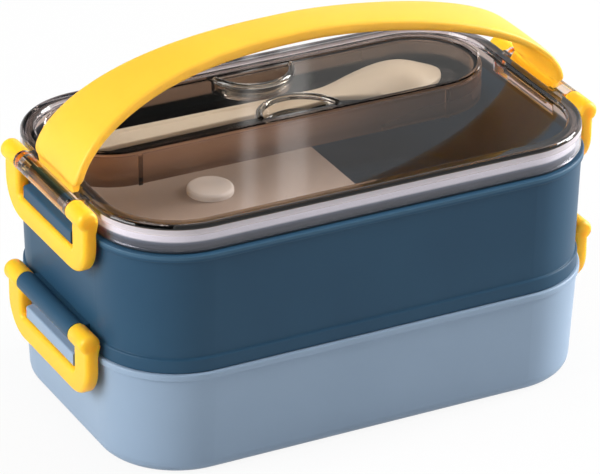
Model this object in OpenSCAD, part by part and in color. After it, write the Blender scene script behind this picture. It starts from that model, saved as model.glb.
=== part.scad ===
// Two-tier lunch box with a clear lid, four stirrup clips and an arched carry handle.
// Millimetres. X runs along the length, Y to the back and Z up from the surface it stands on.

/* [Boxes] */
// Length over the rims
body_l = 200; // [184:1:220]
// Depth over the rims
body_w = 125; // [115:1:136]
// Corner radius of the rims in plan
corner_r = 34; // [30:1:38]
// Wall thickness of both boxes
wall = 2; // [1.6:0.1:2.4]
// Floor thickness of both boxes
floor_t = 2.4; // [2:0.1:3]
// Height of the rim lips
lip_h = 2.6; // [2:0.1:3.4]
// How far the lips stand out from the walls
lip_out = 0.9; // [0.5:0.1:1.3]
// Height of the lower box
lower_h = 43; // [41:0.1:52]
// How far the lower wall leans in down to the base
lower_lean = 2.2; // [1:0.1:3]
// Fillet along the bottom edge
base_fillet = 5; // [3:0.5:7]
// Height of the upper box above the lower rim
upper_h = 48; // [46:0.1:56]
// How far the upper wall leans in down to the foot band
upper_lean = 1.1; // [0.5:0.1:1.6]
// Height of the foot band
band_h = 5.8; // [4:0.1:6.4]
// How far the foot band stands out from the wall
band_out = 0.9; // [0.5:0.1:1.2]
// Depth of the spigot that drops into the lower box
spigot_h = 3; // [2.6:0.1:4]
// Fillet inside the floors
inner_fillet = 4; // [2:0.5:6]

/* [Lid] */
// Height of the skirt
skirt_h = 10.5; // [10:0.1:13]
// Open joint between the skirt and the upper rim
lid_joint = 1.2; // [1:0.1:1.6]
// How far the skirt lies in from the rims
lid_inset = 1.2; // [0.8:0.1:1.6]
// Thickness of the skirt
skirt_t = 2; // [1.6:0.1:2.2]
// Thickness of the plate
plate_t = 1.8; // [1.4:0.1:2.2]
// Width of the raised rim of the lid
rim_w = 5.7; // [5:0.1:6.5]
// Height of the raised rim over the plate
rim_rise = 1.3; // [0.8:0.1:1.6]
// Fillet along the top edge of the lid
edge_fillet = 1.6; // [0.8:0.1:2]

/* [Cutlery pocket] */
// Width of the pocket's mouth
pocket_w = 46; // [42:1:48]
// From the raised rim of the lid to the ends of the pocket
pocket_end_gap = 4.8; // [4.5:0.1:12]
// From the raised rim of the lid to the back of the pocket
pocket_back_gap = 3.3; // [2.5:0.1:4.5]
// Depth of the pocket below the plate
pocket_depth = 12.5; // [11.5:0.1:14]
// Thickness of the pocket's walls
pocket_t = 1.6; // [1.2:0.1:1.8]
// Width of the ledge that the cover lies on
ledge_w = 1.5; // [1.2:0.1:2]
// Width of the bead round the pocket
bead_w = 1.2; // [0.8:0.1:1.4]
// Height of the bead over the plate
bead_h = 0.9; // [0.5:0.1:1.2]
// Ribs on the pocket's front wall, from the middle of the box
rib_x = 64.5; // [50:0.5:70]
// Width of these ribs
rib_w = 1.6; // [1.2:0.1:2]
// How far these ribs stand out
rib_out = 1; // [0.6:0.1:1.2]
// Thickness of the cutlery cover
cover_t = 1.6; // [1.2:0.1:1.8]
// Radius of the finger wells
well_r = 15.5; // [12:0.5:16]
// Depth of the finger wells
well_depth = 5.5; // [4:0.1:5.8]
// Wall thickness of the finger wells
well_t = 1.2; // [1:0.1:1.4]

/* [Spoon] */
// Room in the pocket at each end of the spoon
spoon_gap = 8.5; // [8:0.5:14]
// How far the spoon lies behind the middle of the pocket
spoon_back = 7; // [0:0.5:8]
// Length of the bowl
bowl_l = 60; // [50:1:64]
// Width of the bowl
bowl_w = 27; // [24:1:28]
// Height of the bowl, which lies face down
bowl_h = 8.4; // [6:0.1:9]
// Width of the spoon's handle at its end
stem_w = 13; // [10:0.5:14]
// Thickness of the spoon
spoon_t = 2.4; // [2:0.1:2.8]

/* [Cup] */
// Length of the cup in the upper box
cup_l = 102; // [84:1:104]
// Corner radius at the partition side of the cup
cup_r = 12; // [8:1:16]
// Wall thickness of the cup
cup_t = 1.6; // [1.2:0.1:2]
// Height of the cup
cup_h = 39; // [32:0.5:40]
// Thickness of the cup's cover
cup_cover_t = 2; // [1.6:0.1:2.4]
// Radius of the vent plug's cap
plug_r = 8.8; // [7:0.1:10]
// Height of the vent plug's cap
plug_h = 2.7; // [2:0.1:2.8]
// Radius of the vent plug's stem
plug_stem_r = 3; // [2.5:0.1:4]

/* [Clips] */
// Width of a clip
clip_w = 70.8; // [67:0.2:72]
// Width of a clip's arms
arm_w = 11.6; // [10.8:0.1:12.4]
// Height of a clip's bottom bar
bar_h = 9; // [8:0.1:9.6]
// Thickness of a clip
clip_t = 4.9; // [4.4:0.1:5.4]
// From the clip's axis down to its bottom edge
clip_drop = 23.9; // [23.4:0.1:25]
// Radius inside the clip's lower corners
clip_corner = 1; // [0.6:0.1:1.5]
// Rounding of the clip's edges
clip_edge = 1.7; // [1:0.1:1.9]
// Radius of the clip's knuckles
knuckle_r = 4; // [3.8:0.1:4.1]
// How far the knuckles reach in past the arms
knuckle_in = 1; // [0.6:0.1:1.4]
// Clip axis outside the rims
axis_out = 3.3; // [3.2:0.1:3.7]
// Upper clip axis below the top of the lid
axis_sink = 4.1; // [4:0.1:4.5]
// Lower clip axis above the lower rim
axis_lift = 5.6; // [5.4:0.1:6.4]
// Height of a catch lug
lug_h = 6; // [5:0.1:6.1]
// How far a lug stands out from the rims
lug_out = 4.2; // [3:0.1:4.6]
// Room at each side of a lug in its clip
lug_side = 3; // [2.4:0.1:3.6]
// Radius of the trunnions that the clips turn on
trunnion_r = 2; // [1.8:0.05:2.2]
// Depth of the knuckles' blind bores
bore_depth = 6; // [5:0.1:6.2]

/* [Handle] */
// Top of the arch above the lid
arch_rise = 40.3; // [36:0.1:50]
// Thickness of the strap at the middle
strap_mid_t = 3.4; // [3:0.1:4.5]
// Thickness of the strap at the feet
foot_t = 3.7; // [3.4:0.1:4]
// From the axis of a rail in to the inner face of the strap
foot_in = 6; // [5.8:0.1:6.4]
// Gap between the feet of the strap and the lid
foot_gap = 0.5; // [0.3:0.1:0.8]
// Rounding of the lower corners of the strap
foot_r = 4; // [2:0.5:5]
// Width of the strap at the middle
strap_mid_w = 15.4; // [13:0.2:20]
// Width of the strap at the feet
foot_w = 36; // [32:0.2:37]
// Thickness of the hooks below the feet
hook_t = 1.9; // [1.6:0.1:2]
// Width of the hooks
hook_w = 31; // [27:0.2:32]
// How far the hooks reach round under the rails, in degrees
hook_wrap = 30; // [20:1:34]
// Wall of the bays that the hooks drop into
bay_t = 1.8; // [1.4:0.1:2]

/* [Fits] */
// Gap between a trunnion and its bore
run_gap = 0.05; // [0.03:0.01:0.08]
// Gap between parts that lift apart
lift_gap = 0.25; // [0.2:0.01:0.35]
// Gap under a lug and behind a clip
catch_gap = 0.3; // [0.25:0.01:0.4]
// Gap at a silicone ring
seal_gap = 0.1; // [0.05:0.01:0.15]

/* [Hidden] */
$fn = 64;

core_l = body_l - 2*corner_r;
core_w = body_w - 2*corner_r;
upper_top = lower_h + upper_h;
skirt_z = upper_top + lid_joint;
lid_top = skirt_z + skirt_h;
plate_top = lid_top - rim_rise;
plate_low = plate_top - plate_t;

wall_r = corner_r - lip_out;
lower_inner_r = wall_r - wall;
band_r = wall_r - upper_lean + band_out;
spigot_r = lower_inner_r - lift_gap;
upper_floor = lower_h - spigot_h + floor_t;
upper_inner_low_r = wall_r - upper_lean - wall;
skirt_r = corner_r - lid_inset;
skirt_in_r = skirt_r - skirt_t;

seal_t = 1.6;
seal_flange = 1.1;
seal_flange_h = lid_joint - seal_gap;
groove_h = 1.6;
groove_depth = 0.9;
ring_out = 0.5;

axis_x = body_l/2 + axis_out;
upper_axis_z = lid_top - axis_sink;
lower_axis_z = lower_h + axis_lift;
rail_r = knuckle_r - 0.1;
knuckle_y = clip_w/2 - arm_w - knuckle_in;
rail_half = knuckle_y - lift_gap;
lug_half = clip_w/2 - arm_w - lug_side;
lug_drop = clip_drop - bar_h - catch_gap;

hook_r = rail_r + run_gap + hook_t;
foot_in_x = axis_x - foot_in;
foot_out_x = foot_in_x + foot_t;
foot_z = lid_top + foot_gap;
neck_in = foot_in - 1.4;
neck_out = foot_in - foot_t + 0.2;
nub_w = 2.4;
nub_drop = 1.5;
arch_top = lid_top + arch_rise;
ear_in = hook_w/2 + catch_gap;
bay_x = foot_in_x - 2*catch_gap;
bay_floor = upper_axis_z - hook_r*sin(hook_wrap) - 2*catch_gap;

step_r = skirt_r - rim_w;
pocket_l = core_l + 2*(step_r - pocket_end_gap);
pocket_y = core_w/2 + step_r - pocket_back_gap - pocket_w/2;
pocket_floor = plate_top - pocket_depth;
cavity_w = pocket_w - 2*ledge_w;
cavity_l = pocket_l - 2*ledge_w;
well_x = 4;

spoon_l = cavity_l - 2*spoon_gap;
spoon_z = pocket_floor + lift_gap;
bowl_r = (pow(bowl_l/2 + spoon_t, 2) + pow(bowl_h, 2))/(2*bowl_h);
bowl_x = spoon_l/2 - bowl_l/2;
spoon_y = pocket_y + spoon_back;

cup_z = upper_floor + lift_gap;
cup_left_x = -body_l/2 + corner_r - upper_inner_low_r + inner_fillet;
cup_half_w = core_w/2 + upper_inner_low_r - inner_fillet;
cup_left_r = upper_inner_low_r - inner_fillet;
cup_top = cup_z + cup_h;
plug_x = cup_left_x + cup_l/2;
plug_y = pocket_y - pocket_w/2 - pocket_t - plug_r - 2;

// Points along an arc of radius r about c
function arc(c, r, from, to, steps = 8) =
    [for (i = [0:steps]) let (a = from + (to - from)*i/steps) c + r*[cos(a), sin(a)]];

// Corner p, reached from a and left toward b, rounded to radius r
function bend(a, p, b, r, steps = 5) =
    let (u = (a - p)/norm(a - p), v = (b - p)/norm(b - p), half = acos(u*v)/2, reach = r/tan(half),
        mid = (u + v)/norm(u + v), c = p + mid*r/sin(half), s = p + u*reach - c, e = p + v*reach - c,
        a0 = atan2(s.y, s.x), turn = atan2(s.x*e.y - s.y*e.x, s*e))
    arc(c, r, a0, a0 + turn, steps);

// Outline through corners given as [x, y, radius]
function rounded(pts) =
    let (n = len(pts), at = function (i) [pts[i % n].x, pts[i % n].y])
    [for (i = [0:n - 1]) each pts[i][2] > 0 ? bend(at(i + n - 1), at(i), at(i + 1), pts[i][2]) : [at(i)]];

// Half of a superellipse arch as height over x
function arch_z(x, half, rise) = rise*pow(1 - pow(min(abs(x)/half, 1), 2.2), 0.49);

// Runs a section, drawn as (distance out from the core, height), round the rounded rectangle
module swept() {
    for (turn = [0:3]) {
        side = turn % 2 == 0 ? core_w : core_l;
        out = turn % 2 == 0 ? core_l/2 : core_w/2;
        rotate(90*turn) translate([out, side/2, 0]) {
            rotate_extrude(angle = 90) children();
            rotate([90, 0, 0]) linear_extrude(side) children();
        }
    }
}

// Plate that fills the core between two heights
module core_plate(low, high) {
    translate([-core_l/2, -core_w/2, low]) cube([core_l, core_w, high - low]);
}

// Upright stadium of a length and width, from a height
module stadium(l, w, z, h) {
    translate([0, 0, z]) {
        for (x = [-1, 1]) translate([x*(l - w)/2, 0, 0]) cylinder(d = w, h = h);
        translate([-(l - w)/2, -w/2, 0]) cube([l - w, w, h]);
    }
}

// Rod along Y, centred
module rod(r, l) {
    rotate([90, 0, 0]) cylinder(r = r, h = l, center = true);
}

// Catch lugs at both ends, hanging below the clip axes
module lugs(axis_z) {
    top = axis_z - lug_drop + lug_h;
    for (side = [0, 1]) mirror([side, 0, 0])
        translate([body_l/2 - lip_out - wall/2, lug_half, 0]) rotate([90, 0, 0]) linear_extrude(2*lug_half)
            polygon(rounded([[0, top - lug_h, 0], [lip_out + wall/2 + lug_out, top - lug_h, 0.5],
                [lip_out + wall/2 + lug_out, top - 1, 0.8], [0, top, 0]]));
}

// Rails at both ends with a trunnion at each end of each rail
module rails(axis_z) {
    for (x = [-1, 1]) translate([x*axis_x, 0, axis_z]) {
        rod(rail_r, 2*rail_half);
        rod(trunnion_r, 2*(knuckle_y + bore_depth - lift_gap));
    }
}

module lower_box() {
    base_r = wall_r - lower_lean;
    color("lightsteelblue") {
        swept() polygon(rounded([[0, 0, 0], [base_r, 0, base_fillet], [wall_r, lower_h - lip_h, 0.4],
            [corner_r, lower_h - lip_h, 0.4], [corner_r, lower_h, 0.7], [lower_inner_r, lower_h, 0.4],
            [base_r - wall, floor_t, inner_fillet], [0, floor_t, 0]]));
        core_plate(0, floor_t);
        lugs(lower_axis_z);
    }
}

module tier_seal() {
    low = lower_h - spigot_h/2 - groove_h/2 + seal_gap;
    color("white") swept() polygon(rounded([[spigot_r - groove_depth + seal_gap, low, 0],
        [spigot_r - lift_gap/2, low, 0.3], [spigot_r - lift_gap/2 + ring_out/4, low + groove_h/2 - seal_gap, 0.3],
        [spigot_r - lift_gap/2, low + groove_h - 2*seal_gap, 0.3],
        [spigot_r - groove_depth + seal_gap, low + groove_h - 2*seal_gap, 0]]));
}

module upper_box() {
    low = lower_h - spigot_h;
    wall_low_r = wall_r - upper_lean;
    groove = lower_h - spigot_h/2;
    color("darkslategray") {
        swept() polygon(rounded([[0, low, 0], [spigot_r, low, 0.4], [spigot_r, groove - groove_h/2, 0],
            [spigot_r - groove_depth, groove - groove_h/2, 0], [spigot_r - groove_depth, groove + groove_h/2, 0],
            [spigot_r, groove + groove_h/2, 0], [spigot_r, lower_h, 0], [band_r, lower_h, 0.6],
            [band_r, lower_h + band_h, 0.7], [wall_low_r, lower_h + band_h, 0.4],
            [wall_r, upper_top - lip_h, 0.4], [corner_r, upper_top - lip_h, 0.4], [corner_r, upper_top, 0.7],
            [lower_inner_r, upper_top, 0.4], [upper_inner_low_r, upper_floor, inner_fillet],
            [0, upper_floor, 0]]));
        core_plate(low, upper_floor);
        lugs(upper_axis_z);
        rails(lower_axis_z);
        for (side = [0, 1]) mirror([side, 0, 0])
            translate([body_l/2 - lip_out - wall, -rail_half, lower_axis_z - rail_r*0.6])
                cube([axis_out + lip_out + wall, 2*rail_half, rail_r*1.2]);
    }
}

// Plan of the cup, moved in by a distance
function cup_plan(inset) = rounded([
    [cup_left_x + inset, -cup_half_w + inset, cup_left_r - inset],
    [cup_left_x + cup_l - inset, -cup_half_w + inset, cup_r - inset],
    [cup_left_x + cup_l - inset, cup_half_w - inset, cup_r - inset],
    [cup_left_x + inset, cup_half_w - inset, cup_left_r - inset]]);

module side_cup() {
    color("bisque") difference() {
        translate([0, 0, cup_z]) linear_extrude(cup_h) polygon(cup_plan(0));
        translate([0, 0, cup_z + cup_t]) linear_extrude(cup_h) polygon(cup_plan(cup_t));
    }
}

module cup_cover() {
    color("wheat") difference() {
        union() {
            translate([0, 0, cup_top]) linear_extrude(cup_cover_t) polygon(cup_plan(0));
            translate([0, 0, cup_top - cup_cover_t]) linear_extrude(cup_cover_t)
                polygon(cup_plan(cup_t + lift_gap));
        }
        translate([0, 0, cup_top - 2*cup_cover_t]) linear_extrude(2*cup_cover_t)
            polygon(cup_plan(2*cup_t + lift_gap));
        translate([plug_x, plug_y, cup_top - cup_cover_t]) cylinder(r = plug_stem_r + run_gap, h = 3*cup_cover_t);
    }
}

module vent_plug() {
    color("white") translate([plug_x, plug_y, cup_top + cup_cover_t]) {
        rotate_extrude() polygon(rounded([[0, 0, 0], [plug_r, 0, 0.3], [plug_r, plug_h, 1.2], [0, plug_h, 0]]));
        translate([0, 0, -cup_cover_t - 1]) cylinder(r = plug_stem_r, h = cup_cover_t + 1.5);
    }
}

module lid() {
    color("dimgray") difference() {
        union() {
            swept() polygon(rounded([[0, plate_low, 0], [skirt_in_r, plate_low, 0.6], [skirt_in_r, skirt_z, 0],
                [skirt_r, skirt_z, 0.5], [skirt_r, lid_top, edge_fillet], [step_r + rim_rise/2, lid_top, 0.4],
                [step_r, plate_top, 0.3], [0, plate_top, 0]]));
            core_plate(plate_low, plate_top);
            translate([0, pocket_y, 0]) {
                stadium(pocket_l + 2*pocket_t, pocket_w + 2*pocket_t, pocket_floor - pocket_t,
                    pocket_depth + pocket_t);
                stadium(pocket_l + 2*bead_w, pocket_w + 2*bead_w, plate_low, plate_t + bead_h);
                for (x = [-1, 1]) translate([x*rib_x - rib_w/2, -pocket_w/2 - pocket_t - rib_out,
                    pocket_floor - pocket_t]) cube([rib_w, rib_out + pocket_t/2, pocket_depth]);
            }
            rails(upper_axis_z);
            for (side = [0, 1]) mirror([side, 0, 0]) {
                translate([bay_x - bay_t, -rail_half, bay_floor - bay_t])
                    cube([body_l/2 - lid_inset - edge_fillet - bay_x + bay_t, 2*rail_half,
                        lid_top - bay_floor + bay_t]);
                for (y = [-1, 1]) translate([bay_x, y*(ear_in + rail_half)/2 - (rail_half - ear_in)/2,
                    upper_axis_z - rail_r*0.8]) cube([axis_x - bay_x, rail_half - ear_in, rail_r*1.6]);
            }
        }
        translate([0, pocket_y, 0]) {
            stadium(pocket_l, pocket_w, plate_top - cover_t, cover_t + 2*bead_h);
            stadium(cavity_l, cavity_w, pocket_floor, pocket_depth);
        }
        for (side = [0, 1]) mirror([side, 0, 0]) difference() {
            translate([bay_x, -ear_in, bay_floor]) cube([axis_x - bay_x, 2*ear_in, skirt_h]);
            translate([axis_x, 0, upper_axis_z]) rod(rail_r, 2*rail_half);
        }
    }
}

module lid_seal() {
    color("white") difference() {
        swept() polygon(rounded([[skirt_in_r - seal_gap - seal_t, upper_top + seal_gap, 0.3],
            [skirt_in_r + seal_flange, upper_top + seal_gap, 0.3],
            [skirt_in_r + seal_flange, upper_top + seal_flange_h - seal_gap, 0.2],
            [skirt_in_r - seal_gap, upper_top + seal_flange_h - seal_gap, 0],
            [skirt_in_r - seal_gap, plate_low - lift_gap, 0.3],
            [skirt_in_r - seal_gap - seal_t, plate_low - lift_gap, 0.3]]));
        for (side = [0, 1]) mirror([side, 0, 0])
            translate([bay_x - bay_t - lift_gap, -rail_half - lift_gap, bay_floor - bay_t - seal_gap])
                cube([body_l/2 - bay_x, 2*(rail_half + lift_gap), skirt_h]);
    }
}

// The two finger wells, as solids with their own wall or as the hollows inside them
module wells(r, inset, depth) {
    intersection() {
        stadium(cavity_l - 2*inset, cavity_w - 2*inset, plate_top - depth, depth);
        for (y = [-1, 1]) translate([well_x, y*(pocket_w/2 - lift_gap), plate_top - depth]) cylinder(r = r, h = depth);
    }
}

module cutlery_cover() {
    color("gray") translate([0, pocket_y, 0]) difference() {
        union() {
            stadium(pocket_l - 2*lift_gap, pocket_w - 2*lift_gap, plate_top - cover_t, cover_t);
            wells(well_r + well_t, lift_gap, well_depth + well_t);
        }
        translate([0, 0, bead_h]) wells(well_r, lift_gap + well_t, well_depth + bead_h);
    }
}

// Plan of the spoon, from the end of its handle to the tip of its bowl
function spoon_half(x) =
    let (b = (x - bowl_x)/(bowl_l/2), neck = stem_w*0.36)
    max(abs(b) < 1 ? bowl_w/2*pow(1 - pow(abs(b), 2.3), 0.55) : 0,
        x < bowl_x ? neck + (stem_w/2 - neck)*(bowl_x - x)/(spoon_l - bowl_l/2) : 0);

module spoon() {
    tail = -spoon_l/2;
    stops = [for (i = [0:48]) tail + stem_w/2 + (spoon_l - stem_w/2)*i/48];
    outline = concat([for (x = stops) [x, -spoon_half(x)]],
        [for (i = [47:-1:0]) [stops[i], spoon_half(stops[i])]],
        [for (p = arc([tail + stem_w/2, 0], stem_w/2, 90, 270, 10)) p]);
    color("cornsilk") translate([0, spoon_y, spoon_z]) intersection() {
        linear_extrude(bowl_h + spoon_t) polygon(outline);
        union() {
            difference() {
                translate([bowl_x, 0, bowl_h - bowl_r]) sphere(bowl_r, $fn = 96);
                translate([bowl_x, 0, bowl_h - bowl_r - spoon_t]) sphere(bowl_r, $fn = 96);
            }
            translate([tail, -stem_w, 0]) cube([spoon_l - bowl_l + spoon_t, 2*stem_w, spoon_t]);
        }
    }
}

module handle() {
    inner_top = arch_top - strap_mid_t;
    steps = 28;
    function curve(half, top) = [for (i = [-steps:steps]) let (x = half*sin(90*i/steps))
        [x, foot_z + arch_z(x, half, top - foot_z)]];
    outer = curve(foot_out_x, arch_top);
    inner = curve(foot_in_x, inner_top);
    widths = [for (i = [-10:10]) let (s = i/10) [s*(foot_out_x + 1),
        (strap_mid_w + (foot_w - strap_mid_w)*pow(abs(s), 2.6))/2]];
    neck_top = foot_z + 1 - upper_axis_z;
    color("gold") difference() {
        union() {
            intersection() {
                translate([0, foot_w, 0]) rotate([90, 0, 0]) linear_extrude(2*foot_w)
                    polygon(concat(outer, [for (i = [len(inner) - 1:-1:0]) inner[i]]));
                translate([0, 0, foot_z - foot_t]) linear_extrude(arch_rise + 2*foot_t)
                    polygon(concat(widths, [for (i = [len(widths) - 1:-1:0]) [widths[i].x, -widths[i].y]]));
                translate([-axis_x, 0, 0]) rotate([90, 0, 90]) linear_extrude(2*axis_x)
                    polygon(rounded([[-foot_w/2, foot_z, foot_r], [foot_w/2, foot_z, foot_r],
                        [foot_w/2, arch_top, 0], [-foot_w/2, arch_top, 0]]));
            }
            for (side = [0, 1]) mirror([side, 0, 0]) {
                translate([axis_x, hook_w/2, upper_axis_z]) rotate([90, 0, 0]) linear_extrude(hook_w)
                    polygon(concat(arc([0, 0], hook_r, 180 + hook_wrap, 150),
                        [[-neck_in, neck_top], [-neck_out, neck_top], [0, 0]]));
                for (y = [-1, 1]) translate([foot_in_x, y*(hook_w/2 - nub_w) - nub_w/2, foot_z - nub_drop])
                    cube([neck_in/2, nub_w, nub_drop + 1]);
            }
        }
        for (x = [-1, 1]) translate([x*axis_x, 0, upper_axis_z]) rod(rail_r + run_gap, 2*foot_w);
    }
}

// A clip hanging from an axis at the origin, with its outer face toward +X
module clip() {
    inner_x = catch_gap + 0.2 - axis_out;
    outer_x = inner_x + clip_t;
    turn_r = clip_corner + bar_h;
    knuckle_l = arm_w + knuckle_in;
    function section(from, to) = rounded([[from, inner_x, clip_edge/2], [to, inner_x, clip_edge/2],
        [to, outer_x, clip_edge], [from, outer_x, clip_edge]]);
    difference() {
        union() {
            for (side = [0, 1]) mirror([0, side, 0]) {
                rotate([90, 0, 90]) translate([clip_w/2 - turn_r, turn_r - clip_drop, 0]) {
                    rotate(-90) rotate_extrude(angle = 90) polygon(section(clip_corner, turn_r));
                    translate([0, clip_drop - turn_r, 0]) rotate([90, 0, 0]) {
                        linear_extrude(clip_drop - turn_r) polygon(section(turn_r - arm_w, turn_r));
                        linear_extrude(clip_drop - bar_h + clip_edge)
                            polygon(section(turn_r - arm_w, turn_r - arm_w + bar_h/2));
                    }
                }
                translate([0, knuckle_y, 0]) rotate([-90, 0, 0]) rotate_extrude() polygon(rounded([[0, 0, 0],
                    [knuckle_r, 0, 0.4], [knuckle_r, knuckle_l, clip_edge], [0, knuckle_l, 0]]));
            }
            rotate([90, 0, 90]) translate([clip_w/2 - turn_r, turn_r - clip_drop, 0]) rotate(-90)
                rotate([90, 0, 0]) linear_extrude(clip_w - 2*turn_r) polygon(section(clip_corner, turn_r));
        }
        rod(trunnion_r + run_gap, 2*(knuckle_y + bore_depth));
    }
}

module clip_left_upper() {
    color("gold") translate([-axis_x, 0, upper_axis_z]) mirror([1, 0, 0]) clip();
}

module clip_right_upper() {
    color("gold") translate([axis_x, 0, upper_axis_z]) clip();
}

module clip_left_lower() {
    color("gold") translate([-axis_x, 0, lower_axis_z]) mirror([1, 0, 0]) clip();
}

module clip_right_lower() {
    color("gold") translate([axis_x, 0, lower_axis_z]) clip();
}

lower_box();
tier_seal();
upper_box();
side_cup();
cup_cover();
vent_plug();
lid();
lid_seal();
cutlery_cover();
spoon();
handle();
clip_left_upper();
clip_right_upper();
clip_left_lower();
clip_right_lower();
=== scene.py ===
import bmesh
import bpy
import math
from mathutils import Matrix, Vector


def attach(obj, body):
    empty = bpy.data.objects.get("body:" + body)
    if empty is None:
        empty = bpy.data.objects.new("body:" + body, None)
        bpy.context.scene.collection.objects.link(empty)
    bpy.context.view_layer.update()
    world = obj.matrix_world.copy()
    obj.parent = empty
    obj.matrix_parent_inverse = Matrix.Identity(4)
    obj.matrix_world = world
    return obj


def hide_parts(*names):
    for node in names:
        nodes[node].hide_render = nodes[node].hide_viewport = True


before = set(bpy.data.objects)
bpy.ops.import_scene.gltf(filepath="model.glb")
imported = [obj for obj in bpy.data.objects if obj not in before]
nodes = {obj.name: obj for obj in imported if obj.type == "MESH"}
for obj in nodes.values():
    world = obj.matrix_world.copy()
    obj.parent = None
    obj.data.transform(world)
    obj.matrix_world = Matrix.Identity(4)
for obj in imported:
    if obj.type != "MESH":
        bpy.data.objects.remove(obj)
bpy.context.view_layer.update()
mm = 0.001
scene = bpy.context.scene
scene.view_settings.view_transform = "Standard"


class Wire:
    # a socket that can be used in sums, so that 1 - mask adds its own node
    def __init__(self, tree, socket=None):
        self.tree, self.socket = tree, socket

    def node(self, kind, settings=None, inputs=None, out=0):
        made = self.tree.nodes.new(kind)
        for name, value in (settings or {}).items():
            setattr(made, name, value)
        for key, value in (inputs or {}).items():
            if isinstance(value, Wire):
                self.tree.links.new(value.socket, made.inputs[key])
            else:
                made.inputs[key].default_value = value
        return Wire(self.tree, made.outputs[out])

    def also(self, out):
        # another output of the same node
        return Wire(self.tree, self.socket.node.outputs[out])

    def sum(self, operation, a, b=0.0):
        return self.node("ShaderNodeMath", {"operation": operation}, {0: a, 1: b})

    def __add__(self, other):
        return self.sum("ADD", self, other)

    def __radd__(self, other):
        return self.sum("ADD", other, self)

    def __sub__(self, other):
        return self.sum("SUBTRACT", self, other)

    def __rsub__(self, other):
        return self.sum("SUBTRACT", other, self)

    def __mul__(self, other):
        return self.sum("MULTIPLY", self, other)

    def __rmul__(self, other):
        return self.sum("MULTIPLY", other, self)

    def __abs__(self):
        return self.sum("ABSOLUTE", self)

    def larger(self, other):
        return self.sum("MAXIMUM", self, other)

    def smaller(self, other):
        return self.sum("MINIMUM", self, other)

    def hypot(self, other):
        return self.sum("SQRT", self*self + other*other)

    def ramp(self, low, high):
        # 0 below low, 1 above high, eased between
        return self.node("ShaderNodeMapRange", {"interpolation_type": "SMOOTHSTEP"},
                         {0: self, 1: low, 2: high, 3: 0.0, 4: 1.0})

    def band(self, low, high, fade):
        # 1 between low and high, and an eased fade past each
        return self.ramp(low - fade, low)*(1 - self.ramp(high, high + fade))

    def mix(self, first, second):
        # this value, 0 to 1, between two colours
        return self.node("ShaderNodeMix", {"data_type": "RGBA"}, {0: self, 6: first, 7: second}, out=2)

    def mixShader(self, first, second):
        return self.node("ShaderNodeMixShader", {}, {0: self, 1: first, 2: second})


def linear(colour):
    # sRGB 0-255 to the linear values that sockets take
    return tuple(((c/255 + 0.055)/1.055)**2.4 if c > 10 else c/255/12.92 for c in colour) + (1.0,)


def newMaterial(name):
    material = bpy.data.materials.new(name)
    material.use_nodes = True
    material.node_tree.nodes.clear()
    return material, Wire(material.node_tree)


def output(wire, shader, kind="ShaderNodeOutputMaterial"):
    made = wire.tree.nodes.new(kind)
    wire.tree.links.new(shader.socket, made.inputs["Surface"])


moulding = {"flowScale": 22.0, "flowDetail": 3.0, "flowLow": 0.3, "flowHigh": 0.7, "speckScale": 2600.0,
            "speckDetail": 2.0, "glossDip": 0.06, "glossFlow": 0.08, "glossSpeck": 0.05, "grain": 0.05,
            "grainHeight": 0.0002, "softReach": 0.008}


def mouldedPlastic(name, colour, shade, rough=0.42, sheen=0.5, soft=0.0, spread=(1.0, 0.45, 0.15), zones=None):
    # fine eroded grain, slow flow marks in the colour and a gloss that wanders a little
    material, wire = newMaterial(name)
    place = wire.node("ShaderNodeTexCoord", out="Object")
    flow = wire.node("ShaderNodeTexNoise", {}, {
        "Vector": place, "Scale": moulding["flowScale"], "Detail": moulding["flowDetail"]})
    speck = wire.node("ShaderNodeTexNoise", {}, {
        "Vector": place, "Scale": moulding["speckScale"], "Detail": moulding["speckDetail"]})
    body = flow.ramp(moulding["flowLow"], moulding["flowHigh"]).mix(linear(shade), linear(colour))
    # zones paint light and shade into the colour by place: a highlight on the teal box's lip, shade on the lid's seal
    if zones:
        body = zones(wire, place, body)
    gloss = rough - moulding["glossDip"] + flow*moulding["glossFlow"] + speck*moulding["glossSpeck"]
    bump = wire.node("ShaderNodeBump", {}, {
        "Strength": moulding["grain"], "Distance": moulding["grainHeight"], "Height": speck})
    shader = wire.node("ShaderNodeBsdfPrincipled", {"subsurface_method": "BURLEY"}, {
        "Base Color": body, "Roughness": gloss, "Normal": bump, "Specular IOR Level": sheen,
        "Subsurface Weight": soft, "Subsurface Radius": spread, "Subsurface Scale": moulding["softReach"]})
    output(wire, shader)
    return material


clearing = {"flowScale": 40.0, "flowDetail": 2.0, "flowLow": 0.35, "flowHigh": 0.65, "flowShade": 4, "rough": 0.02,
            "roughFlow": 0.02, "edgeIor": 1.49, "faceIor": 1.21, "satinRough": 0.5}


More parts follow.
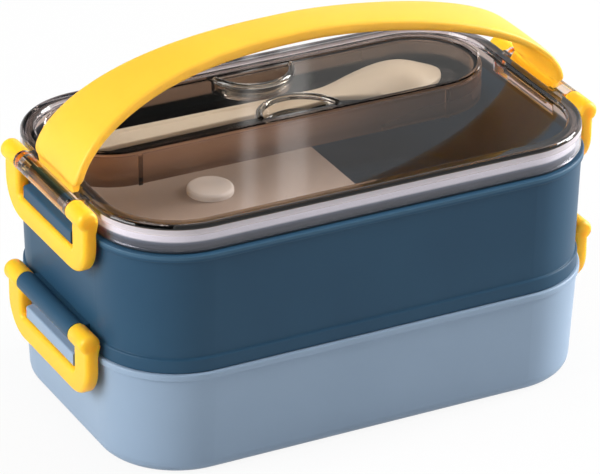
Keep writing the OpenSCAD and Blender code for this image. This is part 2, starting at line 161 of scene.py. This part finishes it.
def clearPlastic(name, tint, shadow, calm, zones=None, frost=None):
    # smoky clear moulding, with faint flow lines in its gloss; calm picks the flat faces that mirror little, zones
    # change the tint by place, painted shade and a painted reflection among them, and frost clouds some walls
    # with a satin that paints light and shade too
    material, wire = newMaterial(name)
    place = wire.node("ShaderNodeTexCoord", out="Object")
    flow = wire.node("ShaderNodeTexNoise", {}, {
        "Vector": place, "Scale": clearing["flowScale"], "Detail": clearing["flowDetail"]})
    body = flow.ramp(clearing["flowLow"], clearing["flowHigh"]).mix(
        linear(tint), linear(tuple(c - clearing["flowShade"] for c in tint)))
    if zones:
        body = zones(wire, place, body)
    gloss = clearing["rough"] + flow*clearing["roughFlow"]
    edge, face = (wire.node("ShaderNodeBsdfPrincipled", {}, {
        "Base Color": body, "Roughness": gloss, "IOR": clearing[ior], "Transmission Weight": 1.0})
        for ior in ("edgeIor", "faceIor"))
    shader = calm(wire, place).mixShader(edge, face)
    if frost:
        cloud, colour = frost(wire, place)
        satin = wire.node("ShaderNodeBsdfPrincipled", {}, {
            "Base Color": colour, "Roughness": clearing["satinRough"]})
        shader = cloud.mixShader(shader, satin)
    # light from the lamps passes straight through, so that what lies inside is lit
    path = wire.node("ShaderNodeLightPath", out="Is Shadow Ray")
    veil = wire.node("ShaderNodeBsdfTransparent", {}, {"Color": linear(shadow)})
    output(wire, path.larger(path.also("Is Diffuse Ray")).mixShader(shader, veil))
    return material


def placeParts(wire, place):
    # sideways, depth and height of a point, and its distance from the middle sideways and in depth
    parts = wire.node("ShaderNodeSeparateXYZ", {}, {0: place})
    across, depth = parts.also("X"), parts.also("Y")
    return {"across": across, "depth": depth, "height": parts.also("Z"), "out": abs(across), "off": abs(depth)}


# the floor colours paint shade on the pocket's floor, and the amber paints the yellow hook's reflection in the rail
lidTint = {"plate": (222, 210, 204), "skirt": (235, 232, 242), "rail": (236, 222, 210), "hookReflectionAmber": (226, 160, 62),
           "ring": (94, 84, 80), "pocketWall": (126, 108, 95), "floorShadeLeft": (12, 10, 12),
           "floorShadeRight": (112, 106, 102), "ringFrom": 0.0273, "coreX": 0.066, "coreY": 0.0285, "skirtTop": 0.0990,
           "fade": 0.0006, "railFrom": 0.0985, "railMid": 0.0986, "hookEnd": 0.0155, "floorTop": 0.0893,
           "pocketX": 0.0915, "pocketFront": 0.003, "pocketBack": 0.056, "floorFrom": 0.005, "floorTo": 0.045}


def rimReach(at):
    # how far a point lies out from the lid's straight-sided core, which grows toward the rim and its corners
    return (at["out"] - lidTint["coreX"]).larger(0.0).hypot((at["off"] - lidTint["coreY"]).larger(0.0))


def lidZones(wire, place, body):
    # the thin skirt and the rails look paler than the plate and the pocket's walls darker; the pocket's floor is
    # painted shade, near black at the left
    at = placeParts(wire, place)
    fade = lidTint["fade"]
    low = 1 - at["height"].ramp(lidTint["skirtTop"] - fade, lidTint["skirtTop"] + fade)
    end = at["out"].ramp(lidTint["railFrom"], lidTint["railFrom"] + fade)
    floor = 1 - at["height"].ramp(lidTint["floorTop"] - fade/2, lidTint["floorTop"] + fade/2)
    pocket = (1 - at["out"].ramp(lidTint["pocketX"], lidTint["pocketX"] + fade))*at["depth"].band(
        lidTint["pocketFront"] + fade, lidTint["pocketBack"], fade)
    # a painted reflection of the yellow hook tints the upper half of the rail amber
    hookReflection = at["height"].ramp(lidTint["railMid"], lidTint["railMid"] + fade)*(
        1 - at["off"].ramp(lidTint["hookEnd"], lidTint["hookEnd"] + fade))
    # the thick raised rim is darker than the plate inside it
    ring = rimReach(at).ramp(lidTint["ringFrom"], lidTint["ringFrom"] + fade)
    body = ring.mix(body, linear(lidTint["ring"]))
    body = low.mix(body, pocket.mix(linear(lidTint["skirt"]), linear(lidTint["pocketWall"])))
    body = end.mix(body, hookReflection.mix(linear(lidTint["rail"]), linear(lidTint["hookReflectionAmber"])))
    # painted shade: the pocket's floor runs from near black at the left to grey at the right
    floorShade = at["across"].ramp(lidTint["floorFrom"], lidTint["floorTo"]).mix(
        linear(lidTint["floorShadeLeft"]), linear(lidTint["floorShadeRight"]))
    return (floor*pocket).mix(body, floorShade)


# the pocket walls' satin: its density and its two wall colours paint light and shade
wallSatinShade = {"litFrontWall": (224, 184, 154), "shadedBackWall": (164, 140, 126), "brim": (214, 206, 212), "coreX": 0.0653,
             "midY": 0.0293, "frontTo": 0.00625, "from": 0.0208, "to": 0.0250, "top": 0.0996, "low": 0.0885,
             "high": 0.0985, "backLow": 0.0934, "backHigh": 0.0950, "least": 0.34, "most": 0.82, "fade": 0.0004,
             "thinFrom": 0.0, "thinTo": 0.06, "thin": 0.65, "brimFrom": 0.0325, "brimLow": 0.0986,
             "brimHigh": 0.1012, "brimMost": 0.85}


def satinWallsAndShade(wire, place):
    # the pocket's upright walls have a satin finish, and so has the skirt's top; the satin is denser toward the plate
    # and the left and thin at the walls' feet, which paints light and shade
    at = placeParts(wire, place)
    height, fade = at["height"], wallSatinShade["fade"]
    reach = (at["out"] - wallSatinShade["coreX"]).larger(0.0).hypot(at["depth"] - wallSatinShade["midY"])
    wall = reach.band(wallSatinShade["from"] + fade, wallSatinShade["to"], fade)*(
        1 - height.ramp(wallSatinShade["top"] - fade, wallSatinShade["top"]))
    wall = wall*(1 - at["across"].ramp(wallSatinShade["thinFrom"], wallSatinShade["thinTo"])*wallSatinShade["thin"])
    front = 1 - at["depth"].ramp(wallSatinShade["midY"] - wallSatinShade["frontTo"], wallSatinShade["midY"])
    rise = front*height.ramp(wallSatinShade["low"], wallSatinShade["high"]) + (1 - front)*height.ramp(
        wallSatinShade["backLow"], wallSatinShade["backHigh"])
    least = front*wallSatinShade["least"]
    densityAndShade = least + rise*(wallSatinShade["most"] - least)
    brim = rimReach(at).ramp(wallSatinShade["brimFrom"], wallSatinShade["brimFrom"] + fade/2)*height.band(
        wallSatinShade["brimLow"] + fade, wallSatinShade["brimHigh"] - fade, fade)*(
        1 - at["out"].ramp(lidTint["railFrom"] - fade, lidTint["railFrom"]))
    # painted light and shade: the front wall takes a lighter colour than the back wall
    colour = front.mix(linear(wallSatinShade["shadedBackWall"]), linear(wallSatinShade["litFrontWall"]))
    return wall*densityAndShade + brim*wallSatinShade["brimMost"], brim.mix(colour, linear(wallSatinShade["brim"]))


calmFace = {"low": 0.0984, "wellX": 0.004, "wellY": (0.00655, 0.05205), "wellR": 0.0177, "fade": 0.0004}


def calmPlate(wire, place):
    # the flat plate inside the raised rim
    at = placeParts(wire, place)
    fade = calmFace["fade"]
    return (1 - rimReach(at).ramp(lidTint["ringFrom"] - fade, lidTint["ringFrom"]))*at["height"].ramp(
        calmFace["low"], calmFace["low"] + fade)


def calmCover(wire, place):
    # the cover's flat face clear of its two finger wells
    at = placeParts(wire, place)
    fade = calmFace["fade"]
    mask = at["height"].ramp(calmFace["low"], calmFace["low"] + fade)
    for wellY in calmFace["wellY"]:
        reach = (at["across"] - calmFace["wellX"]).hypot(at["depth"] - wellY)
        mask = mask*reach.ramp(calmFace["wellR"], calmFace["wellR"] + fade)
    return mask


# painted shade on the seal's lower band: grey-blue, then dark at its foot
sealShade = {"rim": (74, 88, 102), "foot": (28, 40, 52), "rimTop": 0.0955, "footTop": 0.0945, "fade": 0.0005}


def sealPaintedShade(wire, place, body):
    # pale where it stands clear of the box; below that, painted shade, grey-blue and then dark, where the box's rim
    # is behind it
    height, fade = placeParts(wire, place)["height"], sealShade["fade"]
    for zone in ("rim", "foot"):
        top = sealShade[zone + "Top"]
        body = height.ramp(top - fade, top + fade).mix(linear(sealShade[zone]), body)
    return body


# painted highlight along the rounded edge of the upper box's rim
lipHighlight = {"tint": (61, 94, 118), "low": 0.0897, "high": 0.0907, "fade": 0.0003}


def paintedLipHighlight(wire, place, body):
    # a painted highlight: the rounded edge of the upper rim is painted a little paler, where it catches the light
    edge = placeParts(wire, place)["height"].band(lipHighlight["low"], lipHighlight["high"], lipHighlight["fade"])
    return edge.mix(body, linear(lipHighlight["tint"]))


finishes = {
    "lower_box": mouldedPlastic("greyBluePlastic", (146, 167, 190), (142, 163, 186), sheen=0.3),
    "upper_box": mouldedPlastic("deepTealPlastic", (43, 77, 102), (40, 73, 98), rough=0.4, sheen=0.18, zones=paintedLipHighlight),
    "side_cup": mouldedPlastic("beigeCup", (190, 178, 168), (182, 169, 158)),
    "cup_cover": mouldedPlastic("beigeCover", (190, 178, 168), (182, 169, 158)),
    "vent_plug": mouldedPlastic("whiteSilicone", (252, 251, 248), (248, 246, 242), rough=0.6),
    "tier_seal": mouldedPlastic("sealSilicone", (238, 236, 232), (228, 226, 222), rough=0.6),
    "lid_seal": mouldedPlastic("lidSealSilicone", (246, 243, 246), (240, 237, 240), rough=0.6, zones=sealPaintedShade),
    "spoon": mouldedPlastic("creamSpoon", (216, 206, 191), (208, 196, 180), rough=0.35),
    "handle": mouldedPlastic("yellowStrap", (250, 192, 58), (248, 187, 53), soft=0.7, spread=(1.0, 0.8, 0.4)),
    "clip": mouldedPlastic("yellowClip", (253, 197, 40), (251, 192, 36), soft=1.0, spread=(1.0, 0.4, 0.1)),
    "lid": clearPlastic("smokyLid", lidTint["plate"], (252, 251, 250), calmPlate, zones=lidZones, frost=satinWallsAndShade),
    "cutlery_cover": clearPlastic("smokyCover", (232, 226, 218), (246, 243, 240), calmCover),
}
for name, node in nodes.items():
    node.data.materials.clear()
    node.data.materials.append(finishes["clip" if name.startswith("clip") else name])
print("materials set on", len(nodes), "nodes")

sharpFrom = math.radians(38)


def addPiece(mesh, name, node, slot, stands=True):
    # the finished mesh as a piece that rides on a CAD node's body and, as a rule, stands for that node
    data = bpy.data.meshes.new(name)
    mesh.to_mesh(data)
    mesh.free()
    data.shade_smooth()
    data.set_sharp_from_angle(angle=sharpFrom)
    data.materials.append(finishes[slot])
    piece = bpy.data.objects.new(name, data)
    scene.collection.objects.link(piece)
    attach(piece, node)
    if stands:
        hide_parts(node)
    return piece


def newVerts(made):
    return [item for item in made["geom"] if isinstance(item, bmesh.types.BMVert)]


def edgesBetween(verts):
    inside = set(verts)
    return list({edge for vert in verts for edge in vert.link_edges if edge.other_vert(vert) in inside})


def roundOff(mesh, geom, offset, steps, affect="EDGES"):
    bmesh.ops.bevel(mesh, geom=geom, offset=offset*mm, segments=steps, profile=0.5, affect=affect, material=-1)


def turnOver(mesh, verts, faces):
    # to the other end of the box
    bmesh.ops.scale(mesh, verts=verts, vec=(-1, 1, 1))
    bmesh.ops.reverse_faces(mesh, faces=faces)


# the cup and its cover again, with their triangles joined and their corners shaded round
cup = {"weld": 0.001, "pieces": {"roundCup": "side_cup", "roundCupCover": "cup_cover"}}
for name, node in cup["pieces"].items():
    mesh = bmesh.new()
    mesh.from_mesh(nodes[node].data)
    bmesh.ops.remove_doubles(mesh, verts=mesh.verts[:], dist=cup["weld"]*mm)
    bmesh.ops.recalc_face_normals(mesh, faces=mesh.faces[:])
    piece = addPiece(mesh, name, node, node)
    piece.modifiers.new("flatSides", "WEIGHTED_NORMAL").keep_sharp = True
print("cup shaded")

# the soft strap hangs a little fuller at its left shoulder than at its right
strap = {"top": 143.9, "topIn": 138.9, "midWidth": 18.2, "footWidth": 37.2, "spread": 2.35, "footPast": 1.0,
         "left": {"half": 101.0, "thick": 3.7, "power": 2.56, "root": 0.58, "footZ": 103.7},
         "right": {"half": 102.6, "thick": 2.6, "power": 1.58, "root": 0.45, "footZ": 103.8},
         "rows": 96, "ways": 6, "crowd": 1.4, "cornerR": 4.0, "edge": 1.3, "edgeIn": 0.9, "edgeSteps": 4,
         "crown": 0.35, "midDeep": -0.5, "rimAt": 0.999, "level": 0.001}
hook = {"axisX": 103.3, "axisZ": 98.6, "inner": 3.95, "outer": 5.85, "width": 31.0, "wrap": 30, "steps": 10,
        "neckInset": 0.3, "neckTop": 6.2}
nub = {"width": 2.4, "depth": 2.3, "drop": 1.5, "bite": 2.4, "edge": 0.5, "edgeSteps": 2}


def strapPoint(flat):
    # a point of the flat strap, -1 to 1 along and across and 0 or -1 deep, bent onto the arch
    turn = math.copysign(1 - (1 - abs(flat.x))**strap["crowd"], flat.x)*math.pi/2
    side = strap["left" if flat.x < 0 else "right"]
    outside = flat.z > strap["midDeep"]
    half, top = (side["half"], strap["top"]) if outside else (side["half"] - side["thick"], strap["topIn"])
    rise = max(1 - abs(math.sin(turn))**side["power"], 0)**side["root"]
    x, z = half*math.sin(turn), side["footZ"] + (top - side["footZ"])*rise
    share = min(abs(x)/(side["half"] + strap["footPast"]), 1)**strap["spread"]
    width = (strap["midWidth"] + (strap["footWidth"] - strap["midWidth"])*share)/2
    above = min(z - side["footZ"], strap["cornerR"])
    width -= strap["cornerR"] - math.sqrt(strap["cornerR"]**2 - (strap["cornerR"] - above)**2)
    if outside:
        z -= strap["crown"]*flat.y**2
    return Vector((x, flat.y*width, z))*mm


def addFoot(mesh, side):
    # the hook under one foot and its two nubs, made at the right and turned over for the left
    before = set(mesh.faces)
    axisX, axisZ, first = hook["axisX"]*mm, hook["axisZ"]*mm, math.radians(180 + hook["wrap"])
    start = mesh.faces.new([
        mesh.verts.new((axisX + reach*mm*math.cos(first), y*hook["width"]/2*mm, axisZ + reach*mm*math.sin(first)))
        for reach, y in ((hook["inner"], -1), (hook["outer"], -1), (hook["outer"], 1), (hook["inner"], 1))])
    lip = bmesh.ops.spin(mesh, geom=[start], cent=(axisX, 0, axisZ), axis=(0, 1, 0), dvec=(0, 0, 0),
                         angle=math.radians(2*hook["wrap"]), steps=hook["steps"])
    last = [item for item in lip["geom_last"] if isinstance(item, bmesh.types.BMFace)]
    for vert in newVerts(bmesh.ops.extrude_face_region(mesh, geom=last)):
        reach = math.hypot(vert.co.x - axisX, vert.co.z - axisZ)
        near = reach < (hook["inner"] + hook["outer"])/2*mm
        inset = -hook["neckInset"] if near else hook["neckInset"] - side["thick"]
        vert.co.x = (side["half"] + inset)*mm
        vert.co.z = (hook["axisZ"] + hook["neckTop"])*mm
    tall = nub["drop"] + nub["bite"]
    size = Matrix.Diagonal((nub["depth"]*mm, nub["width"]*mm, tall*mm, 1))
    for y in (-1, 1):
        middle = Vector((side["half"] - side["thick"] + nub["depth"]/2, y*(hook["width"]/2 - nub["width"]),
                         side["footZ"] - nub["drop"] + tall/2))*mm
        block = bmesh.ops.create_cube(mesh, size=1.0, matrix=Matrix.Translation(middle) @ size)
        roundOff(mesh, edgesBetween(block["verts"]), nub["edge"], nub["edgeSteps"])
    made = [face for face in mesh.faces if face not in before]
    bmesh.ops.recalc_face_normals(mesh, faces=made)
    if side is strap["left"]:
        turnOver(mesh, list({vert for face in made for vert in face.verts}), made)


mesh = bmesh.new()
bmesh.ops.create_grid(mesh, x_segments=strap["rows"], y_segments=strap["ways"], size=1.0)
under = newVerts(bmesh.ops.extrude_face_region(mesh, geom=mesh.faces[:], use_keep_orig=True))
bmesh.ops.translate(mesh, verts=under, vec=(0, 0, -1))
rims = {"edge": [], "edgeIn": []}
for edge in mesh.edges:
    a, b = (vert.co for vert in edge.verts)
    onRim = any(abs(a[way]) > strap["rimAt"] and abs(a[way] - b[way]) < strap["level"] for way in (0, 1))
    if onRim and abs(a.z - b.z) < strap["level"]:
        rims["edge" if a.z > strap["midDeep"] else "edgeIn"].append(edge)
for vert in mesh.verts:
    vert.co = strapPoint(vert.co)
bmesh.ops.recalc_face_normals(mesh, faces=mesh.faces[:])
for rim, edges in rims.items():
    roundOff(mesh, edges, strap[rim], strap["edgeSteps"])
for side in ("left", "right"):
    addFoot(mesh, strap[side])
addPiece(mesh, "carryStrap", "handle", "handle")
print("strap made")

stirrup = {"half": 35.4, "arm": 11.6, "bar": 9.0, "thick": 4.9, "innerX": -2.8, "drop": 23.9, "armTop": 0.0,
           "outerR": 14.0, "outerSteps": 10, "innerR": 1.4, "innerSteps": 4, "edge": 1.7, "edgeSteps": 5,
           "edgeBack": 0.8, "backSteps": 3, "ring": 0.25, "gusset": 1.2, "gussetLow": -5.2, "flatFrom": 12,
           "near": 0.001, "weld": 0.005}
knuckle = {"radius": 4.0, "from": 22.8, "length": 12.6, "bore": 2.05, "boreDepth": 6.0, "lip": 0.5, "lipSteps": 2,
           "end": 2.0, "endSteps": 5, "steps": 40}
axes = {"clip_left_upper": (-103.3, 98.6), "clip_right_upper": (103.3, 98.6), "clip_left_lower": (-103.3, 48.6),
        "clip_right_lower": (103.3, 48.6)}


def addKnuckle(mesh, side):
    # a turned end with the bore that its trunnion sits in
    near, reach, bore = knuckle["from"], knuckle["radius"], knuckle["bore"]
    deep, far = near + knuckle["boreDepth"], near + knuckle["length"]
    chain = [mesh.verts.new(Vector((0, side*y, r))*mm) for r, y in (
        (0, deep), (bore, deep), (bore, near), (reach, near), (reach, far), (0, far))]
    for pair in zip(chain, chain[1:]):
        mesh.edges.new(pair)
    for vert, corner in ((chain[3], "lip"), (chain[4], "end")):
        roundOff(mesh, [vert], knuckle[corner], knuckle[corner + "Steps"], "VERTICES")
    loose = [edge for edge in mesh.edges if not edge.link_faces]
    bmesh.ops.spin(mesh, geom=loose, cent=(0, 0, 0), axis=(0, 1, 0), dvec=(0, 0, 0), angle=2*math.pi,
                   steps=knuckle["steps"], use_merge=True)


def makeClip():
    # a stirrup hanging from an axis at the origin, its outer face toward +X
    mesh = bmesh.new()
    half, low, inside = stirrup["half"], -stirrup["drop"], stirrup["half"] - stirrup["arm"]
    sill, top, back = stirrup["bar"] - stirrup["drop"], stirrup["armTop"], stirrup["innerX"]
    step, near = stirrup["gussetLow"], stirrup["near"]*mm
    outline = [(-half, top), (-half, step), (-half, low), (half, low), (half, step), (half, top), (inside, top),
               (inside, step), (inside, sill), (-inside, sill), (-inside, step), (-inside, top)]
    ring = [mesh.verts.new(Vector((back, y, z))*mm) for y, z in outline]
    mesh.faces.new(ring)
    roundOff(mesh, ring[2:4], stirrup["outerR"], stirrup["outerSteps"], "VERTICES")
    inner = [vert for vert in mesh.verts if abs(vert.co.z - sill*mm) < near]
    roundOff(mesh, inner, stirrup["innerR"], stirrup["innerSteps"], "VERTICES")
    front = bmesh.ops.extrude_face_region(mesh, geom=mesh.faces[:], use_keep_orig=True)
    bmesh.ops.translate(mesh, verts=newVerts(front), vec=(stirrup["thick"]*mm, 0, 0))
    bmesh.ops.recalc_face_normals(mesh, faces=mesh.faces[:])
    for depth, offset, steps in ((back + stirrup["thick"], stirrup["edge"], stirrup["edgeSteps"]),
                                 (back, stirrup["edgeBack"], stirrup["backSteps"])):
        rim = [edge for edge in mesh.edges if all(abs(vert.co.x - depth*mm) < near for vert in edge.verts)]
        roundOff(mesh, rim, offset, steps)
    flats = [face for face in mesh.faces if len(face.verts) > stirrup["flatFrom"]]
    bmesh.ops.inset_individual(mesh, faces=flats, thickness=stirrup["ring"]*mm)
    # the back of each arm runs out to the back of its knuckle
    for vert in mesh.verts:
        if vert.co.z > step*mm and vert.co.x < 0:
            vert.co.x += stirrup["gusset"]*(vert.co.z/mm - step)/(top - step)*vert.co.x/-back
    for side in (-1, 1):
        addKnuckle(mesh, side)
    bmesh.ops.remove_doubles(mesh, verts=mesh.verts[:], dist=stirrup["weld"]*mm)
    bmesh.ops.recalc_face_normals(mesh, faces=mesh.faces[:])
    return mesh


for node, (x, z) in axes.items():
    mesh = makeClip()
    if x < 0:
        turnOver(mesh, mesh.verts[:], mesh.faces[:])
    bmesh.ops.translate(mesh, verts=mesh.verts[:], vec=Vector((x, 0, z))*mm)
    addPiece(mesh, node + "_stirrup", node, "clip")
print("clips made")

utensil = {"length": 156.6, "bowl": 60.0, "bowlWidth": 27.0, "bowlHeight": 8.2, "stemWidth": 13.0, "thick": 2.2,
           "placeY": 36.3, "placeZ": 89.15, "neck": 4.7, "swell": 0.75, "lean": 1.75, "blunt": 0.25, "arch": 1.3,
           "stemEnd": 0.5, "join": 3, "groove": 0.6, "grooveWide": 0.55, "rows": 96, "ways": 16, "rim": 0.6,
           "rimSteps": 3, "rimAngle": 55}


def spoonPoint(flat):
    # a point of the flat blank, -1 to 1 along and across, pressed to the spoon's shape
    length, bowl, join = utensil["length"], utensil["bowl"], utensil["join"]
    x = math.sin(flat.x*math.pi/2)*length/2
    along = min(max((x - length/2 + bowl)/bowl, 0), 1)
    swell = max(math.sin(math.pi*along**utensil["lean"]), 0)
    wide = utensil["bowlWidth"]/2*swell**(utensil["swell"] - utensil["blunt"]*along)
    tail = utensil["stemWidth"]/2
    stem = 0
    if along < utensil["stemEnd"]:
        stem = utensil["neck"] + (tail - utensil["neck"])*min((length/2 - bowl - x)/(length - bowl), 1)
        stem *= 1 - (along/utensil["stemEnd"])**2
        close = x + length/2
        if close < tail:
            stem *= math.sqrt(max(1 - ((tail - close)/tail)**2, 0))
    half = (wide**join + stem**join)**(1/join)
    cap = (utensil["bowlHeight"] - utensil["thick"])*swell**utensil["arch"]*(1 - flat.y**2)
    dip = 0
    if along == 0 and abs(flat.y) < utensil["grooveWide"]:
        ends = min(x + length/2, length/2 - bowl - x)/tail
        dip = utensil["groove"]*min(max(ends - 1, 0), 1)
    return Vector((x, utensil["placeY"] + flat.y*half, utensil["placeZ"] + utensil["groove"] + cap - dip))*mm


mesh = bmesh.new()
bmesh.ops.create_grid(mesh, x_segments=utensil["rows"], y_segments=utensil["ways"], size=1.0)
raised = newVerts(bmesh.ops.extrude_face_region(mesh, geom=mesh.faces[:], use_keep_orig=True))
bmesh.ops.translate(mesh, verts=raised, vec=(0, 0, 1))
for vert in mesh.verts:
    lift = vert.co.z*utensil["thick"]*mm
    vert.co = spoonPoint(vert.co) + Vector((0, 0, lift))
bmesh.ops.recalc_face_normals(mesh, faces=mesh.faces[:])
sharp = math.radians(utensil["rimAngle"])
spoonRim = [edge for edge in mesh.edges if edge.is_manifold and edge.calc_face_angle() > sharp]
roundOff(mesh, spoonRim, utensil["rim"], utensil["rimSteps"])
addPiece(mesh, "tableSpoon", "spoon", "spoon")
print("spoon made")

# clear beads round the open side of each finger well, at its mouth and at its floor
wellBead = {"x": 4.0, "yMid": 29.3, "yOut": 22.75, "steps": 44, "round": 14, "start": 12,
            "rings": ({"reach": 16.4, "thick": 1.25, "z": 101.3}, {"reach": 14.7, "thick": 0.7, "z": 96.2})}


def addBead(mesh, side, ring):
    centre = Vector((wellBead["x"], wellBead["yMid"] + side*wellBead["yOut"], ring["z"]))*mm
    turn = math.radians(wellBead["start"] + (180 if side > 0 else 0))
    section = (Matrix.Translation(centre) @ Matrix.Rotation(turn, 4, "Z")
               @ Matrix.Translation((ring["reach"]*mm, 0, 0)) @ Matrix.Rotation(math.pi/2, 4, "X"))
    made = bmesh.ops.create_circle(mesh, cap_ends=True, radius=ring["thick"]*mm, segments=wellBead["round"],
                                   matrix=section)
    cap = list({face for vert in made["verts"] for face in vert.link_faces})
    bmesh.ops.spin(mesh, geom=cap, cent=centre, axis=(0, 0, 1), dvec=(0, 0, 0),
                   angle=math.radians(180 - 2*wellBead["start"]), steps=wellBead["steps"])


mesh = bmesh.new()
for side in (-1, 1):
    for ring in wellBead["rings"]:
        addBead(mesh, side, ring)
bmesh.ops.recalc_face_normals(mesh, faces=mesh.faces[:])
addPiece(mesh, "wellBeads", "cutlery_cover", "cutlery_cover", stands=False)
print("well beads made")

# the top lamp is kept out of mirror images, where it would only speckle the pocket
lampAim = (0, 0, 0.06)
lamps = {"leftKey": {"place": (-1.3, 0.08, 0.65), "size": (0.8, 0.9), "power": 19, "mirrored": True},
         "rightSide": {"place": (1.3, -0.1, 0.6), "size": (0.6, 0.9), "power": 32, "mirrored": True},
         "topSoft": {"place": (-0.1, 0.1, 1.4), "size": (1.2, 0.9), "power": 9, "mirrored": False}}
for name, setting in lamps.items():
    lamp = bpy.data.lights.new(name, "AREA")
    lamp.shape = "RECTANGLE"
    lamp.size, lamp.size_y = setting["size"]
    lamp.energy = setting["power"]
    holder = bpy.data.objects.new(name, lamp)
    holder.visible_glossy = setting["mirrored"]
    holder.location = setting["place"]
    holder.rotation_euler = (Vector(lampAim) - Vector(setting["place"])).to_track_quat("-Z", "Y").to_euler()
    scene.collection.objects.link(holder)
print("lamps placed")

air = {"ambient": 0.19, "overhead": 0.05, "fadeFrom": 0.05, "fadeTo": 0.4, "floorGlow": 0.92, "floorGrey": 0.65,
       "floorHalf": 4.0}
# a white card behind the box and two tall narrow windows beside its edge, seen as a sheen and soft streaks in the lid
windows = {"bearing": -27.5, "fade": 0.0022, "panes": ((-0.0142, -0.0088, 1.5), (-0.0056, 0.0034, 1.3)),
           "cardFrom": -0.020, "cardTo": 0.006, "card": 0.6}
white = (1, 1, 1, 1)
world = bpy.data.worlds.new("whiteRoom")
scene.world = world
world.use_nodes = True
world.node_tree.nodes.clear()


def straightPath(wire):
    # camera rays, and rays that reach here through clear plastic or by a mirror image
    path = wire.node("ShaderNodeLightPath", out="Is Camera Ray")
    direct = 1 - path.also("Diffuse Depth").smaller(1.0)
    through = path.also("Is Transmission Ray")*direct
    mirror = path.also("Is Glossy Ray")*(1 - path.also("Is Transmission Ray"))*direct
    return path, through + mirror


sky = Wire(world.node_tree)
camera, seen = straightPath(sky)
toward = sky.node("ShaderNodeTexCoord", out="Generated")
upper = sky.node("ShaderNodeSeparateXYZ", {}, {0: toward}).also("Z").ramp(air["fadeFrom"], air["fadeTo"])
bearing = math.radians(windows["bearing"])
sideways = sky.node("ShaderNodeVectorMath", {"operation": "DOT_PRODUCT"}, {
    0: toward, 1: (math.cos(bearing), math.sin(bearing), 0)}, out="Value")
shine = 1 - air["ambient"] - upper*(1 - air["overhead"])
shine = shine + upper*windows["card"]*sideways.ramp(windows["cardFrom"], windows["cardTo"])
for left, right, strength in windows["panes"]:
    shine = shine + upper*strength*sideways.band(
        left + windows["fade"], right - windows["fade"], windows["fade"])
level = air["ambient"] + camera*(1 - air["ambient"]) + seen*shine
output(sky, sky.node("ShaderNodeBackground", {}, {"Color": white, "Strength": level}), "ShaderNodeOutputWorld")

floorMesh = bpy.data.meshes.new("paleFloor")
flat = bmesh.new()
bmesh.ops.create_grid(flat, x_segments=1, y_segments=1, size=air["floorHalf"])
flat.to_mesh(floorMesh)
flat.free()
floor = bpy.data.objects.new("paleFloor", floorMesh)
scene.collection.objects.link(floor)
floorPaint, wire = newMaterial("paleFloor")
camera, seen = straightPath(wire)
chalk = wire.node("ShaderNodeBsdfDiffuse", {}, {"Color": (air["floorGrey"],)*3 + (1,)})
glow = wire.node("ShaderNodeEmission", {}, {"Color": white, "Strength": 1.0})
output(wire, ((camera + seen)*air["floorGlow"]).mixShader(chalk, glow))
floorMesh.materials.append(floorPaint)
print("room made")

viewpoint = {"place": (-0.64965, -1.24427, 0.77005), "azimuth": -27.5557, "elevation": 27.0373, "roll": 0.4839,
             "focal": 4179.02, "frameWidth": 600, "sensor": 36}
turn, rise = math.radians(viewpoint["azimuth"]), math.radians(viewpoint["elevation"])
back = Vector((math.sin(turn)*math.cos(rise), -math.cos(turn)*math.cos(rise), math.sin(rise)))
right = Vector((0, 0, 1)).cross(back).normalized()
axesOfView = Matrix((right, back.cross(right), back)).transposed().to_4x4()
lens = bpy.data.cameras.new("photoView")
lens.sensor_width = viewpoint["sensor"]
lens.lens = viewpoint["focal"]*viewpoint["sensor"]/viewpoint["frameWidth"]
cameraObject = bpy.data.objects.new("photoView", lens)
cameraObject.matrix_world = (Matrix.Translation(viewpoint["place"]) @ axesOfView
                             @ Matrix.Rotation(math.radians(viewpoint["roll"]), 4, "Z"))
scene.collection.objects.link(cameraObject)
scene.camera = cameraObject
print("camera set")
